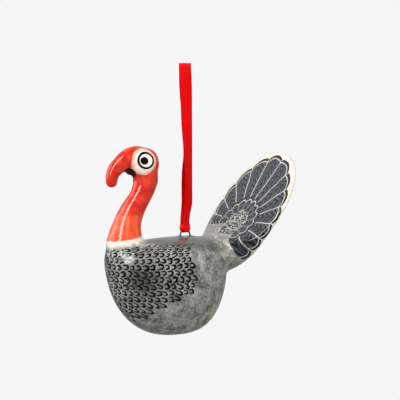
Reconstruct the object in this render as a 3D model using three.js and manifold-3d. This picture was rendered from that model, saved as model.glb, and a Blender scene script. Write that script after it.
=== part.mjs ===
// Hanging turkey decoration: a hollow, hand-painted, glazed earthenware bird that hangs by a wire
// staple from a loop of red satin ribbon.
// Millimetres and degrees, +Z up. The head points to -X and the tail to +X, and Y runs across the bird.
// The origin is the hanging point, where the top of the ribbon loop lies over what holds it up.
import * as THREE from "three";
import { mergeVertices } from "three/addons/utils/BufferGeometryUtils.js";
import Module from "manifold-3d";

const wasm = await Module();
wasm.setup();

// Clearances
const JOINT_GAP = 0.3; // between pieces that sit face to face
const WIRE_GAP = 0.3; // around the staple, in the clay and in the hitch

// Ribbon loop
const RIBBON_WIDTH = 6;
const RIBBON_THICKNESS = 0.4;
const LOOP_DROP = 82; // from the hanging point down to the staple's crown
const HOOK_WIDTH = 3.4; // room inside the top fold for a hook or a twig
const FOLD_TURN = -30; // how far the top fold is turned from the staple
const LAP_START = 64; // height above the crown of the lap where the strip's ends are joined
const LAP_LENGTH = 12;

// Hitch and gather, with heights measured up from the staple's crown
const HITCH_WIDTH = 5.4;
const HITCH_THICKNESS = 3;
const HITCH_LAYERS = 2; // of ribbon round the crown
const HITCH_SHOULDER = 1.2; // straight side of the knot, under its round top
const GATHER_PINCH = 4.2; // width of the gathered ribbon just above the knot
const GATHER_THICKNESS = 1.8;
const GATHER_TOP = 14;

// Staple
const WIRE_DIAMETER = 0.8;
const STAPLE_SPAN = 5.2; // between the middles of its legs
const STAPLE_RISE = 3.6; // crown above the bird's back
const STAPLE_BEND = 0.9;
const ANCHOR_DROP = 2.2; // legs below the inside of the wall
const ANCHOR_REACH = 2.4; // ends turned out inside the body

// Body, a bowl with a gently crowned back
const BODY_LENGTH = 65;
const BODY_WIDTH = 45;
const BODY_DEPTH = 39.7; // line where the body is longest, down to the underside
const BODY_RISE = 9; // the same line up to the back
const GIRTH_DROP = 7; // the body is widest this far below the line where it is longest
const BODY_WALL = 3.8;
const BODY_AHEAD = 11.4; // middle of the body, ahead of the staple
const BACK_SLOPE = 2.7; // the back falls this much toward the neck
const KEEL_SETBACK = 5.2; // lowest point of the underside, behind the middle of the body
const REAR_TUCK = 2; // the rear of the belly is drawn in by this much at most
const TUCK_SCALE = 27 / 4; // brings the greatest value of the tuck's curve to 1
const BELLY_FULLNESS = 2.5; // of its profile from the side: 2 is an ellipse, more is squarer
const BACK_FULLNESS = 2.6;
const GIRTH_FULLNESS = 2.1; // of its profile from the front
const VENT_DIAMETER = 5;

// Neck and head. Stations are [x, z, half depth, half width], with x measured from the neck's root and
// z from the level of the back. The first two are inside the body, and the third is the collar.
const NECK_INSET = 10.4; // neck's root, behind the front of the body
const NECK_STATIONS = [
  [3.7, -17.9, 11, 11],
  [0.9, -7.9, 10.6, 10.6],
  [-0.2, -0.8, 9.3, 9.3],
  [0.9, 7.4, 7, 7],
  [3.7, 14.1, 6, 6],
  [8, 20.8, 5.4, 5.3],
  [10.3, 25.5, 5.7, 5.5],
  [11.2, 30, 6.4, 6],
  [10, 37.3, 6.6, 6],
];
const COLLAR_STATION = 2;
const BORE_STATION = 7; // where the casting bore ends, under the head
const NECK_BORE = 5;
const HEAD_LENGTH = 16.6;
const HEAD_WIDTH = 14;
const HEAD_HEIGHT = 16;
const BEAK = [-6.8, -2.9]; // middle of the beak's stub, from the middle of the head
const BEAK_RADIUS = 3.1;

// Snood, the fleshy finger over the beak. Stations are measured from the middle of the head.
const SNOOD_STATIONS = [
  [0, 1.5, 6.4, 5.6],
  [-4, 2.7, 6.2, 5.4],
  [-9.2, 1.6, 5.4, 4.8],
  [-13.8, -0.9, 4, 3.8],
  [-16.2, -3.4, 3.5, 3.4],
  [-17.3, -6.2, 3.1, 3.1],
  [-17.5, -8.4, 2.8, 2.8],
];

// Tail fan, an oval plate that grows out of a thick stem
const FAN_WIDTH = 60;
const FAN_HEIGHT = 65;
const FAN_THICKNESS = 3.1;
const FAN_LEAN = 35.5; // backward from upright
const FAN_BEHIND = 17; // middle of the fan, behind the rear of the body
const FAN_ABOVE = 13.1; // middle of the fan, above the level of the back
const FAN_SWELL = 3.3; // extra half thickness where the stem runs out into the plate
const FAN_SWELL_REACH = 8;
const FAN_FULLNESS = 4; // of the plate's section, whose edge is round
const FAN_LOWEST = -36; // the part of the oval that is plate, as angles round it
const FAN_HIGHEST = 87;
const FAN_STATIONS = 10;
// Stations of the stem, as for the neck, with x measured from the rear of the body. The first is inside it.
const STEM_FULLNESS = 2;
const STEM_STATIONS = [
  [-17.2, -13.1, 10, 10],
  [-7.6, -9.9, 10, 11.5],
  [0.4, -8.3, 9.7, 16.5],
];

// Facet counts
const BODY_SIDES = 40;
const BELLY_RINGS = 11;
const BACK_RINGS = 7;
const LIMB_SIDES = 24;
const STEPS_PER_STATION = 3;
const WIRE_SIDES = 8;
const WIRE_STEPS = 44;
const KNOT_SEGMENTS = 14;
const FOLD_STEPS = 12;
const SEARCH_STEPS = 30; // halvings when a place is looked for along a route
const MERGE_DISTANCE = 1e-4;

const WIRE_RADIUS = WIRE_DIAMETER / 2;
const BACK_TANGENT = Math.tan(THREE.MathUtils.degToRad(BACK_SLOPE));

// Places in the bird's own frame, whose origin is the middle of the staple's crown.
const BODY_MIDDLE = -BODY_AHEAD;
const BODY_REAR = BODY_MIDDLE + BODY_LENGTH / 2;
const LONGEST_LINE = -STAPLE_RISE - backHeight(BODY_AHEAD);
const BACK_LEVEL = LONGEST_LINE + BODY_RISE;
const NECK_ROOT = BODY_MIDDLE - BODY_LENGTH / 2 + NECK_INSET;
const FAN_MIDDLE = new THREE.Vector3(BODY_REAR + FAN_BEHIND, 0, BACK_LEVEL + FAN_ABOVE);
const [HEAD_X, HEAD_Z] = NECK_STATIONS.at(-1);
const HEAD_MIDDLE = new THREE.Vector3(NECK_ROOT + HEAD_X, 0, BACK_LEVEL + HEAD_Z);
const NOD_AXIS = WIRE_RADIUS + WIRE_GAP + HITCH_SHOULDER; // middle of the knot's round top

// Height of the back above the longest line, in the plane of symmetry, at a place behind the body's middle.
function backHeight(behind) {
  const share = Math.pow(Math.abs(behind) / (BODY_LENGTH / 2), BACK_FULLNESS);
  const crown = Math.pow(1 - share, 1 / BACK_FULLNESS);
  return crown * (BODY_RISE + behind * BACK_TANGENT);
}

// A closed solid through rings of points that run anticlockwise as seen from the last ring's side.
function loft(rings) {
  const sides = rings[0].length;
  const points = rings.flat();
  const index = [];
  for (let r = 0; r < rings.length - 1; r += 1) {
    for (let i = 0; i < sides; i += 1) {
      const low = r * sides;
      const high = low + sides;
      const next = (i + 1) % sides;
      index.push(low + i, low + next, high + next, low + i, high + next, high + i);
    }
  }
  const start = points.push(middleOf(rings[0])) - 1;
  const end = points.push(middleOf(rings.at(-1))) - 1;
  const top = (rings.length - 1) * sides;
  for (let i = 0; i < sides; i += 1) {
    const next = (i + 1) % sides;
    index.push(start, next, i);
    index.push(end, top + i, top + next);
  }
  const geometry = new THREE.BufferGeometry().setFromPoints(points);
  geometry.setIndex(index);
  return geometry;
}

function middleOf(ring) {
  const sum = new THREE.Vector3();
  for (const point of ring) {
    sum.add(point);
  }
  return sum.divideScalar(ring.length);
}

// A geometry as a solid that can be joined and cut.
function solid(geometry) {
  const bare = geometry.clone();
  bare.deleteAttribute("normal");
  bare.deleteAttribute("uv");
  const merged = mergeVertices(bare, MERGE_DISTANCE);
  const mesh = new wasm.Mesh({
    numProp: 3,
    vertProperties: merged.attributes.position.array,
    triVerts: new Uint32Array(merged.index.array),
  });
  return new wasm.Manifold(mesh);
}

function geometryOf(made) {
  const mesh = made.getMesh();
  const geometry = new THREE.BufferGeometry();
  geometry.setAttribute("position", new THREE.BufferAttribute(mesh.vertProperties, 3));
  geometry.setIndex(new THREE.BufferAttribute(mesh.triVerts, 1));
  return geometry;
}

// Share of the body's width at a height above the line where it is longest, negative below it.
function girth(height) {
  const above = height + GIRTH_DROP;
  const reach = above > 0 ? BODY_RISE + GIRTH_DROP : BODY_DEPTH - GIRTH_DROP;
  const share = Math.abs(above) / reach;
  return Math.pow(1 - Math.pow(share, GIRTH_FULLNESS), 1 / GIRTH_FULLNESS);
}

// How far the rear of the belly is drawn in at a share of its depth, most at two thirds of it.
function rearTuck(drop) {
  return REAR_TUCK * TUCK_SCALE * drop * drop * (1 - drop);
}

// The body's own surface, pushed out by a distance, or in where that is negative.
function bowl(growth) {
  const halfLength = BODY_LENGTH / 2 + growth;
  const halfWidth = BODY_WIDTH / 2 + growth;
  const rings = [];
  const addRing = (along, across, height, behind, tuck, slope) => {
    const ring = [];
    for (let i = 0; i < BODY_SIDES; i += 1) {
      const angle = (2 * Math.PI * i) / BODY_SIDES;
      const x = behind + along * halfLength * Math.cos(angle) - tuck * Math.max(Math.cos(angle), 0);
      const y = across * halfWidth * Math.sin(angle);
      ring.push(new THREE.Vector3(BODY_MIDDLE + x, y, LONGEST_LINE + height + slope * x));
    }
    rings.push(ring);
  };
  for (let k = 1; k <= BELLY_RINGS; k += 1) {
    const angle = (Math.PI / 2) * (1 - k / BELLY_RINGS);
    const drop = rounded(Math.sin(angle), BELLY_FULLNESS);
    const along = rounded(Math.cos(angle), BELLY_FULLNESS);
    const height = -drop * (BODY_DEPTH + growth);
    addRing(along, girth(-drop * BODY_DEPTH), height, drop * KEEL_SETBACK, rearTuck(drop), 0);
  }
  for (let k = 1; k < BACK_RINGS; k += 1) {
    const angle = (Math.PI / 2) * (k / BACK_RINGS);
    const lift = rounded(Math.sin(angle), BACK_FULLNESS);
    const along = rounded(Math.cos(angle), BACK_FULLNESS);
    addRing(along, girth(lift * BODY_RISE), lift * (BODY_RISE + growth), 0, 0, lift * BACK_TANGENT);
  }
  return solid(loft(rings));
}

// A limb along a bent line in the plane of symmetry, between two shares of its length in stations.
// A station may end with the fullness of its section, and is an ellipse where it doesn't.
function limb(stations, from, to, sides) {
  const line = new THREE.CatmullRomCurve3(stations.map(([x, z]) => new THREE.Vector3(x, 0, z)));
  const sections = stations.map(([, , deep, wide, fullness = 2]) => new THREE.Vector3(deep, wide, fullness));
  const section = new THREE.CatmullRomCurve3(sections);
  const steps = Math.ceil((to - from) * (stations.length - 1) * STEPS_PER_STATION);
  const rings = [];
  for (let k = 0; k <= steps; k += 1) {
    const share = from + ((to - from) * k) / steps;
    const middle = line.getPoint(share);
    const across = new THREE.Vector3(0, 1, 0).cross(line.getTangent(share)).normalize();
    const { x: deep, y: wide, z: fullness } = section.getPoint(share);
    const ring = [];
    for (let i = 0; i < sides; i += 1) {
      const angle = (2 * Math.PI * i) / sides;
      const point = middle.clone().addScaledVector(across, deep * rounded(Math.cos(angle), fullness));
      point.y += wide * rounded(Math.sin(angle), fullness);
      ring.push(point);
    }
    rings.push(ring);
  }
  return solid(loft(rings));
}

// A sine or cosine bent so that a circle of them becomes a rounded square of that fullness.
function rounded(value, fullness) {
  return Math.sign(value) * Math.pow(Math.abs(value), 2 / fullness);
}

// A tube of the given radius along a path.
function tube(path, radius, steps) {
  const section = new THREE.Shape().absarc(0, 0, radius, 0, 2 * Math.PI);
  const options = { steps, bevelEnabled: false, extrudePath: path, curveSegments: WIRE_SIDES / 2 };
  return new THREE.ExtrudeGeometry(section, options);
}

function neckStations() {
  return NECK_STATIONS.map(([x, z, deep, wide]) => [NECK_ROOT + x, BACK_LEVEL + z, deep, wide]);
}

const COLLAR_SHARE = COLLAR_STATION / (NECK_STATIONS.length - 1);

// The share of the neck's line that lies a joint's gap past the collar.
function neckStart() {
  const points = neckStations().map(([x, z]) => new THREE.Vector3(x, 0, z));
  const line = new THREE.CatmullRomCurve3(points);
  const smallShare = 0.001;
  const pace = line.getPoint(COLLAR_SHARE + smallShare).distanceTo(line.getPoint(COLLAR_SHARE)) / smallShare;
  return COLLAR_SHARE + JOINT_GAP / pace;
}

// The casting bore up the neck, which opens into the body.
function neckBore() {
  const stations = neckStations().map(([x, z]) => [x, z, NECK_BORE / 2, NECK_BORE / 2]);
  return limb(stations, 0, BORE_STATION / (NECK_STATIONS.length - 1), LIMB_SIDES / 2);
}

// The staple's line: out, up a leg, over the crown and down the other leg.
function staplePath() {
  const half = STAPLE_SPAN / 2;
  const foot = -(STAPLE_RISE + BODY_WALL + ANCHOR_DROP);
  const bend = STAPLE_BEND;
  const at = (x, z) => new THREE.Vector3(x, 0, z);
  const path = new THREE.CurvePath();
  const line = (from, to) => path.add(new THREE.LineCurve3(from, to));
  const corner = (from, by, to) => path.add(new THREE.QuadraticBezierCurve3(from, by, to));
  line(at(-half - ANCHOR_REACH, foot), at(-half - bend, foot));
  corner(at(-half - bend, foot), at(-half, foot), at(-half, foot + bend));
  line(at(-half, foot + bend), at(-half, -bend));
  corner(at(-half, -bend), at(-half, 0), at(-half + bend, 0));
  line(at(-half + bend, 0), at(half - bend, 0));
  corner(at(half - bend, 0), at(half, 0), at(half, -bend));
  line(at(half, -bend), at(half, foot + bend));
  corner(at(half, foot + bend), at(half, foot), at(half + bend, foot));
  line(at(half + bend, foot), at(half + ANCHOR_REACH, foot));
  return path;
}

function hangingWire() {
  return tube(staplePath(), WIRE_RADIUS, WIRE_STEPS);
}

// A hole for one leg, straight down through the wall.
function legHole(x) {
  const length = 2 * (STAPLE_RISE + BODY_WALL + ANCHOR_DROP);
  const radius = WIRE_RADIUS + WIRE_GAP;
  const hole = new THREE.CylinderGeometry(radius, radius, length, WIRE_SIDES);
  hole.rotateX(Math.PI / 2);
  hole.translate(x, 0, 0);
  return solid(hole);
}

function bodyShell() {
  const vent = new THREE.CylinderGeometry(VENT_DIAMETER / 2, VENT_DIAMETER / 2, BODY_DEPTH, LIMB_SIDES);
  vent.rotateX(Math.PI / 2);
  vent.translate(BODY_MIDDLE + KEEL_SETBACK, 0, LONGEST_LINE - BODY_DEPTH);
  const breast = limb(neckStations(), 0, COLLAR_SHARE, LIMB_SIDES);
  let shell = bowl(0).add(breast);
  shell = shell.subtract(bowl(-BODY_WALL));
  shell = shell.subtract(neckBore());
  shell = shell.subtract(solid(vent));
  shell = shell.subtract(legHole(-STAPLE_SPAN / 2));
  shell = shell.subtract(legHole(STAPLE_SPAN / 2));
  return geometryOf(shell);
}

function neckAndHead() {
  const head = new THREE.SphereGeometry(1, LIMB_SIDES, LIMB_SIDES / 2);
  head.rotateX(Math.PI / 2);
  head.scale(HEAD_LENGTH / 2, HEAD_WIDTH / 2, HEAD_HEIGHT / 2);
  head.translate(HEAD_MIDDLE.x, 0, HEAD_MIDDLE.z);
  const stations = SNOOD_STATIONS.map(([x, z, deep, wide]) => {
    return [HEAD_MIDDLE.x + x, HEAD_MIDDLE.z + z, deep, wide];
  });
  const [tipX, tipZ, tipRadius] = stations.at(-1);
  const tip = new THREE.SphereGeometry(tipRadius, LIMB_SIDES / 2, LIMB_SIDES / 4);
  tip.translate(tipX, 0, tipZ);
  const beak = new THREE.SphereGeometry(BEAK_RADIUS, LIMB_SIDES / 2, LIMB_SIDES / 4);
  beak.translate(HEAD_MIDDLE.x + BEAK[0], 0, HEAD_MIDDLE.z + BEAK[1]);
  let made = limb(neckStations(), neckStart(), 1, LIMB_SIDES);
  made = made.add(solid(head));
  made = made.add(solid(beak));
  made = made.add(limb(stations, 0, 1, LIMB_SIDES));
  made = made.add(solid(tip));
  made = made.subtract(neckBore());
  made = made.subtract(bowl(JOINT_GAP));
  return geometryOf(made);
}

// The stem runs out of the body and flattens into the plate, whose width follows an oval.
function tailFan() {
  const stations = STEM_STATIONS.map(([x, z, deep, wide]) => {
    return [BODY_REAR + x, BACK_LEVEL + z, deep, wide, STEM_FULLNESS];
  });
  const lean = THREE.MathUtils.degToRad(FAN_LEAN);
  const lowest = THREE.MathUtils.degToRad(FAN_LOWEST);
  const highest = THREE.MathUtils.degToRad(FAN_HIGHEST);
  const bottom = (FAN_HEIGHT / 2) * Math.sin(lowest);
  for (let k = 0; k < FAN_STATIONS; k += 1) {
    const angle = THREE.MathUtils.lerp(lowest, highest, k / (FAN_STATIONS - 1));
    const up = (FAN_HEIGHT / 2) * Math.sin(angle);
    const swell = FAN_SWELL * Math.exp((bottom - up) / FAN_SWELL_REACH);
    stations.push([
      FAN_MIDDLE.x + up * Math.sin(lean),
      FAN_MIDDLE.z + up * Math.cos(lean),
      FAN_THICKNESS / 2 + swell,
      (FAN_WIDTH / 2) * Math.cos(angle),
      FAN_FULLNESS,
    ]);
  }
  return geometryOf(limb(stations, 0, 1, BODY_SIDES).subtract(bowl(JOINT_GAP)));
}

// The knot: a round-topped band over the crown, and a lobe that passes round the crown between the legs.
function ribbonHitch() {
  const half = HITCH_WIDTH / 2;
  const outline = new THREE.Shape();
  outline.moveTo(-half, WIRE_RADIUS + WIRE_GAP);
  outline.lineTo(half, WIRE_RADIUS + WIRE_GAP);
  outline.absarc(0, NOD_AXIS, half, 0, Math.PI);
  const options = { depth: HITCH_THICKNESS, bevelEnabled: false, curveSegments: KNOT_SEGMENTS };
  const band = new THREE.ExtrudeGeometry(outline, options);
  band.translate(0, 0, -HITCH_THICKNESS / 2);
  band.rotateX(Math.PI / 2);
  const lobeLength = STAPLE_SPAN - WIRE_DIAMETER - 2 * WIRE_GAP;
  const lobeRadius = WIRE_RADIUS + WIRE_GAP + HITCH_LAYERS * RIBBON_THICKNESS;
  const lobe = new THREE.CylinderGeometry(lobeRadius, lobeRadius, lobeLength, LIMB_SIDES);
  lobe.rotateZ(Math.PI / 2);
  const boreRadius = WIRE_RADIUS + WIRE_GAP;
  const bore = new THREE.CylinderGeometry(boreRadius, boreRadius, STAPLE_SPAN, LIMB_SIDES / 2);
  bore.rotateZ(Math.PI / 2);
  return geometryOf(solid(band).add(solid(lobe)).subtract(solid(bore)));
}

// The pinched stretch above the knot. Its hollow foot follows the knot's round top, so the two can turn.
function ribbonGather() {
  const footRadius = HITCH_WIDTH / 2 + JOINT_GAP;
  const footAngle = Math.acos(GATHER_PINCH / 2 / footRadius);
  const outline = new THREE.Shape();
  outline.moveTo(RIBBON_WIDTH / 2, GATHER_TOP);
  outline.lineTo(-RIBBON_WIDTH / 2, GATHER_TOP);
  outline.absarc(0, NOD_AXIS, footRadius, Math.PI - footAngle, footAngle, true);
  const options = { depth: GATHER_THICKNESS, bevelEnabled: false, curveSegments: KNOT_SEGMENTS };
  const gather = new THREE.ExtrudeGeometry(outline, options);
  gather.translate(0, 0, -GATHER_THICKNESS / 2);
  gather.rotateX(Math.PI / 2);
  return gather;
}

// Route of one strand: height above the crown, distance from the loop's middle, and turn about Z.
const STRAND_ROUTE = [
  [GATHER_TOP + JOINT_GAP, 0.5, 0],
  [27, 0.5, 6],
  [43, 0.5, 8],
  [63, 0.9, -12],
  [LOOP_DROP - HOOK_WIDTH / 2 - JOINT_GAP, (HOOK_WIDTH + RIBBON_THICKNESS) / 2, FOLD_TURN],
];

// A flat strip through places that each have a middle, a direction across and a direction through it.
function strip(places) {
  const rings = places.map(({ middle, across, through }) => {
    const wide = across.clone().multiplyScalar(RIBBON_WIDTH / 2);
    const thick = through.clone().multiplyScalar(RIBBON_THICKNESS / 2);
    return [
      middle.clone().sub(wide).sub(thick),
      middle.clone().add(wide).sub(thick),
      middle.clone().add(wide).add(thick),
      middle.clone().sub(wide).add(thick),
    ];
  });
  return loft(rings);
}

// Part of a strand, on the front (-1) or back (1) side, lifted off the route by a distance.
function strand(side, low, high, lift) {
  const stops = STRAND_ROUTE.map(([z, out, turn]) => new THREE.Vector3(out, turn, z));
  const route = new THREE.CatmullRomCurve3(stops);
  const steps = Math.ceil((high - low) / RIBBON_WIDTH);
  const places = [];
  for (let k = 0; k <= steps; k += 1) {
    const height = low + ((high - low) * k) / steps;
    const [out, turn] = routeAt(route, height);
    const through = new THREE.Vector3(0, 1, 0).applyAxisAngle(new THREE.Vector3(0, 0, 1), turn);
    const across = new THREE.Vector3(1, 0, 0).applyAxisAngle(new THREE.Vector3(0, 0, 1), turn);
    const middle = through.clone().multiplyScalar(side * (out + lift));
    middle.z = height - LOOP_DROP;
    places.push({ middle, across, through });
  }
  return strip(places);
}

// The route's distance from the middle and turn, in radians, at a height.
function routeAt(route, height) {
  let low = 0;
  let high = 1;
  for (let k = 0; k < SEARCH_STEPS; k += 1) {
    const share = (low + high) / 2;
    if (route.getPoint(share).z < height) {
      low = share;
    } else {
      high = share;
    }
  }
  const point = route.getPoint(low);
  return [point.x, THREE.MathUtils.degToRad(point.y)];
}

// The half turn of ribbon over the hook.
function ribbonTopFold() {
  const turn = THREE.MathUtils.degToRad(FOLD_TURN);
  const upright = new THREE.Vector3(0, 0, 1);
  const across = new THREE.Vector3(1, 0, 0).applyAxisAngle(upright, turn);
  const outward = new THREE.Vector3(0, 1, 0).applyAxisAngle(upright, turn);
  const radius = (HOOK_WIDTH + RIBBON_THICKNESS) / 2;
  const places = [];
  for (let k = 0; k <= FOLD_STEPS; k += 1) {
    const angle = (Math.PI * k) / FOLD_STEPS;
    const through = outward.clone().multiplyScalar(-Math.cos(angle));
    through.addScaledVector(upright, Math.sin(angle));
    const middle = through.clone().multiplyScalar(radius);
    middle.z -= HOOK_WIDTH / 2;
    places.push({ middle, across, through: through.negate() });
  }
  return strip(places);
}

// Materials, with colours from the photograph
function paint(color, roughness, metalness = 0) {
  return new THREE.MeshStandardMaterial({ color, roughness, metalness });
}

const greyGlaze = paint(0x7b7d78, 0.15);
const redGlaze = paint(0xd23a28, 0.15);
const featherGlaze = paint(0x5a5e66, 0.15);
const darkWire = paint(0x4b4848, 0.4, 1);
const satin = paint(0xd0050a, 0.45);

function piece(name, geometry, material) {
  geometry.computeVertexNormals();
  const mesh = new THREE.Mesh(geometry, material);
  mesh.name = name;
  return mesh;
}

const bird = new THREE.Group();
bird.add(piece("body_shell", bodyShell(), greyGlaze));
bird.add(piece("neck_and_head", neckAndHead(), redGlaze));
bird.add(piece("tail_fan", tailFan(), featherGlaze));
bird.add(piece("hanging_wire", hangingWire(), darkWire));
bird.add(piece("ribbon_hitch", ribbonHitch(), satin));
bird.add(piece("ribbon_gather", ribbonGather(), satin));
bird.position.z = -LOOP_DROP;

const strandLow = STRAND_ROUTE[0][0];
const strandHigh = STRAND_ROUTE.at(-1)[0];
const lapLift = RIBBON_THICKNESS + JOINT_GAP;
const decoration = new THREE.Group();
decoration.add(bird);
decoration.add(piece("ribbon_front_strand", strand(-1, strandLow, strandHigh, 0), satin));
decoration.add(piece("ribbon_back_strand", strand(1, strandLow, strandHigh, 0), satin));
decoration.add(piece("ribbon_end_lap", strand(1, LAP_START, LAP_START + LAP_LENGTH, lapLift), satin));
decoration.add(piece("ribbon_top_fold", ribbonTopFold(), satin));

export default decoration;
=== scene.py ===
# %% [markdown]
# # A glazed clay turkey on a satin ribbon
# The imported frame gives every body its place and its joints. Each step below makes one thing that the eye
# sees: the ribbon, the wire, the clay and the paint under its glaze.
# Shapes are worked out in millimetres and become metres when a mesh is made.

# %% Load the frame
import math

import bmesh
import bpy
import numpy as np
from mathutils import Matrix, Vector
from mathutils.kdtree import KDTree


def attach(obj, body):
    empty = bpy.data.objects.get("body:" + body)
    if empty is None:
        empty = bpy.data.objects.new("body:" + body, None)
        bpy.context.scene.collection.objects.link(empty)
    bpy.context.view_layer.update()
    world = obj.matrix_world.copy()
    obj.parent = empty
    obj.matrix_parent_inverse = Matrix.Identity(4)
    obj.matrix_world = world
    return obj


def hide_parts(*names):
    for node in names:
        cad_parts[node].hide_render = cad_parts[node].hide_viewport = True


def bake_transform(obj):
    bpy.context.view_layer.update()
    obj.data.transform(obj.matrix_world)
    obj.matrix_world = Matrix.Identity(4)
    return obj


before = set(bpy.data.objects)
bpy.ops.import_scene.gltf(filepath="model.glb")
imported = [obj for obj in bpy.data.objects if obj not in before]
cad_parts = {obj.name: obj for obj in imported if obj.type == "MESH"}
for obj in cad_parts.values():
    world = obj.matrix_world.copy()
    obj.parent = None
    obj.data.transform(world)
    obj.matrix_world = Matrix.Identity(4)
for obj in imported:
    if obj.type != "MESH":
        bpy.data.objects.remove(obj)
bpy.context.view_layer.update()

MM = 0.001
print("nodes in the frame:", sorted(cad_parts))

# %% [markdown]
# ## Camera
# The photograph was taken from a little above, with the bird turned 30 degrees from a plain side view.
# A long lens keeps its lines nearly parallel: 200 mm of the world fill the frame from 0.9 m away.

# %% Place the camera
VIEW_TURN = math.radians(-30)
VIEW_LIFT = math.radians(5)
VIEW_TARGET = Vector((8.6, 0, -68)) * MM
VIEW_DISTANCE = 0.9
VIEW_ACROSS = 0.2


def toward(turn, lift):
    return Vector((math.sin(turn) * math.cos(lift), -math.cos(turn) * math.cos(lift), math.sin(lift)))


def placed(name, data):
    """A new object in the scene, for a mesh, a curve, a light or a camera."""
    thing = bpy.data.objects.new(name, data)
    bpy.context.scene.collection.objects.link(thing)
    return thing


def aim(thing, way, distance):
    """Sets a camera or a light back from the view's target and turns it to face the target."""
    thing.location = VIEW_TARGET + way * distance
    thing.rotation_euler = way.to_track_quat("Z", "Y").to_euler()


camera_data = bpy.data.cameras.new("photo_camera")
camera_data.lens = camera_data.sensor_width * VIEW_DISTANCE / VIEW_ACROSS
camera = placed("photo_camera", camera_data)
aim(camera, toward(VIEW_TURN, VIEW_LIFT), VIEW_DISTANCE)
bpy.context.scene.camera = camera
print("lens in mm:", round(camera_data.lens, 1))

# %% [markdown]
# ## Meshes from grids of points
# Ribbon, clay and wire are all grids that run along something and across it. One helper turns a list of
# points and faces into an object, and another bends a smooth line through a few chosen stations.

# %% Helpers for meshes
def mesh_piece(name, points, faces, smooth=True):
    mesh = bpy.data.meshes.new(name)
    mesh.from_pydata((np.asarray(points) * MM).tolist(), [], faces)
    mesh.polygons.foreach_set("use_smooth", [smooth] * len(mesh.polygons))
    return placed(name, mesh)


def bent_line(stations, shares):
    """A smooth line through stations, at shares of the way from the first to the last."""
    p = np.asarray(stations, float)
    ends = np.vstack([2 * p[0] - p[1], p, 2 * p[-1] - p[-2]])
    pace = np.linalg.norm(np.diff(ends, axis=0), axis=1) ** 0.5
    pace = np.where(pace < 1e-4, 1.0, pace)[:, None]
    place = np.clip(np.asarray(shares, float), 0, 1) * (len(p) - 1)
    k = np.minimum(place.astype(int), len(p) - 2)
    t = (place - k)[:, None]
    a, b, c, d = ends[k], ends[k + 1], ends[k + 2], ends[k + 3]
    before, during, after = pace[k], pace[k + 1], pace[k + 2]
    leave = ((b - a) / before - (c - a) / (before + during) + (c - b) / during) * during
    arrive = ((c - b) / during - (d - b) / (during + after) + (d - c) / after) * during
    curve = (2 * b - 2 * c + leave + arrive) * t
    return ((curve - 3 * b + 3 * c - 2 * leave - arrive) * t + leave) * t + b


# %% [markdown]
# ## Ribbon
# The real ribbon is one strip of 6 mm satin. Its two strands hang side by side from the top fold, so each
# is a piece of its own here. A strip is a grid of points, thickened by its own normals, with a map in
# millimetres for the weave. The strands twist on their way from the fixed loop down to the gather below
# them.

# %% Strip of ribbon
RIBBON_WIDTH = 6.0
RIBBON_THICKNESS = 0.36
SHARP_EDGE = math.radians(50)


def strip_piece(name, rows):
    """A closed strip from rows of points, each row running across it."""
    rows = np.asarray(rows, float)
    count, wide = rows.shape[:2]
    normal = np.cross(np.gradient(rows, axis=1), np.gradient(rows, axis=0))
    normal /= np.linalg.norm(normal, axis=2, keepdims=True)
    front = rows + normal * RIBBON_THICKNESS / 2
    back = rows - normal * RIBBON_THICKNESS / 2
    points = np.concatenate([front.reshape(-1, 3), back.reshape(-1, 3)])
    size = count * wide
    faces = []
    for i in range(count - 1):
        for j in range(wide - 1):
            n = i * wide + j
            faces.append((n, n + 1, n + wide + 1, n + wide))
            faces.append((size + n, size + n + wide, size + n + wide + 1, size + n + 1))
        left = i * wide
        right = left + wide - 1
        faces.append((left, left + wide, size + left + wide, size + left))
        faces.append((right, size + right, size + right + wide, right + wide))
    last = (count - 1) * wide
    for j in range(wide - 1):
        faces.append((j, size + j, size + j + 1, j + 1))
        faces.append((last + j, last + j + 1, size + last + j + 1, size + last + j))
    piece = mesh_piece(name, points, faces)
    piece.data.set_sharp_from_angle(angle=SHARP_EDGE)
    step = np.linalg.norm(np.diff(rows, axis=0), axis=2).mean(axis=1)
    place = np.zeros((count, wide, 2))
    place[:, :, 0] = np.linspace(-0.5, 0.5, wide) * RIBBON_WIDTH
    place[:, :, 1] = np.concatenate([[0], np.cumsum(step)])[:, None]
    place = np.tile(place.reshape(-1, 2), (2, 1))
    corner = np.zeros(len(piece.data.loops), int)
    piece.data.loops.foreach_get("vertex_index", corner)
    weave = piece.data.uv_layers.new(name="weave_mm")
    weave.data.foreach_set("uv", place[corner].ravel())
    return piece


# %% [markdown]
# A strand's route has a height above the staple's crown, a distance from the loop's middle, a turn about
# the upright and a sway along the bird. The front strand turns more than the back one above the knot, so a
# band of each shows there. The satin is cupped a little across its width, as ribbon off a reel is.

# %% Two strands and the top fold
LOOP_DROP = 82.0
HOOK_WIDTH = 3.4
FOLD_TURN = -30.0
GATHER_TOP = 14.0
CUP = 0.25
CUP_EASE = 6.0
LAP_HEIGHTS = np.linspace(76, 64, 18)
LAP_LIFT = RIBBON_THICKNESS + 0.08
FOLD_RADIUS = (HOOK_WIDTH + 0.4) / 2
STRAND_TOP = LOOP_DROP - HOOK_WIDTH / 2
STRAND_FOOT = GATHER_TOP + 0.3
STRAND_ROUTES = {
    -1: np.array([
        [STRAND_FOOT, 1.3, 24, 0.8],
        [27, 1.3, 26, 0.8],
        [38, 0.9, 18, 0.9],
        [51, 0.7, 4, 0.65],
        [63, 0.9, -7, 0.35],
        [STRAND_TOP, FOLD_RADIUS, FOLD_TURN, 0],
    ]),
    1: np.array([
        [STRAND_FOOT, 0.6, 8, 1.3],
        [27, 0.6, 11, 1.3],
        [38, 0.5, 18, 2.0],
        [51, 0.7, 4, 1.5],
        [63, 0.9, -7, 1.1],
        [STRAND_TOP, FOLD_RADIUS, FOLD_TURN, 0],
    ]),
}
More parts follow.
